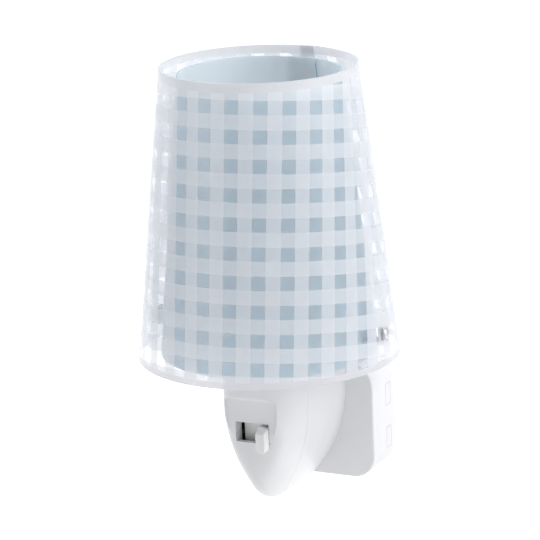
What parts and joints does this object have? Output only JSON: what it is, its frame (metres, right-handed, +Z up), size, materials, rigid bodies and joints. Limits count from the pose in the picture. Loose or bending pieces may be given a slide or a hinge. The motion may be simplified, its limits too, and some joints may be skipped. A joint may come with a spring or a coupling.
{
  "type": "plug-in night light",
  "caption": "Plug-in night light: drop-shaped switch body on a two-pin plug box, lampholder with bulb, and a tapered gingham sleeve shade over a pale blue liner.",
  "frame": {"origin": "on the back face that lies against the wall, midway between the two plug pins", "axes": "+Y into the wall along the pins, +Z up along the lamp's upright axis, +X to the right seen from the front"},
  "size_m": [0.075, 0.0945, 0.1275],
  "materials": {
    "printed_sheet": "clear plastic sheet printed with white gingham",
    "liner_sheet": "pale blue translucent sheet",
    "strap_steel": "zinc-plated steel strap",
    "rivet_metal": "dull nickel-plated",
    "housing_white": "satin white moulded plastic",
    "pin_nickel": "nickel-plated brass",
    "sleeve_dark": "dark insulating sleeve",
    "screw_steel": "zinc-plated steel",
    "holder_white": "heat-resistant white plastic",
    "contact_brass": "spring brass",
    "switch_white": "glossy white moulded plastic",
    "base_dark": "dark insulating plastic",
    "lead_brown": "brown wire insulation",
    "lead_blue": "blue wire insulation",
    "cap_nickel": "nickel-plated screw cap",
    "tip_dark": "dark insulator with a metal tip",
    "bulb_white": "white plastic",
    "bulb_diffuser": "milky diffusing plastic"
  },
  "bodies": {
    "housing": {"front_cover": "housing_white", "rear_body": "housing_white", "pin_plate": "housing_white", "plug_pins": "pin_nickel", "pin_sleeves": "sleeve_dark", "cover_screws": "screw_steel", "lampholder": "holder_white", "screw_contact": "contact_brass", "centre_contact": "contact_brass", "switch_base": "base_dark", "fixed_contacts": "contact_brass", "live_lead": "lead_brown", "switched_lead": "lead_brown", "neutral_lead": "lead_blue"},
    "shade": {"outer_shade": "printed_sheet", "shade_liner": "liner_sheet", "shade_bracket": "strap_steel", "shade_rivets": "rivet_metal"},
    "switch_lever": {"switch_slider": "switch_white", "moving_contact": "contact_brass"},
    "bulb": {"bulb_cap": "cap_nickel", "bulb_tip": "tip_dark", "bulb_collar": "bulb_white", "bulb_globe": "bulb_diffuser"}
  },
  "joints": [
    {"name": "switch_slide", "type": "slide", "parent": "housing", "child": "switch_lever", "axis": [1, 0, 0], "range_m": [-0.003, 0]},
    {"name": "shade_lift", "type": "slide", "parent": "housing", "child": "shade", "axis": [0, 0, 1], "range_m": [0, 0.055]},
    {"name": "bulb_unscrew", "type": "hinge", "parent": "housing", "child": "bulb", "pos_m": [0, -0.038, 0.028], "axis": [0, 0, 1], "range_deg": [0, 1080]}
  ]
}
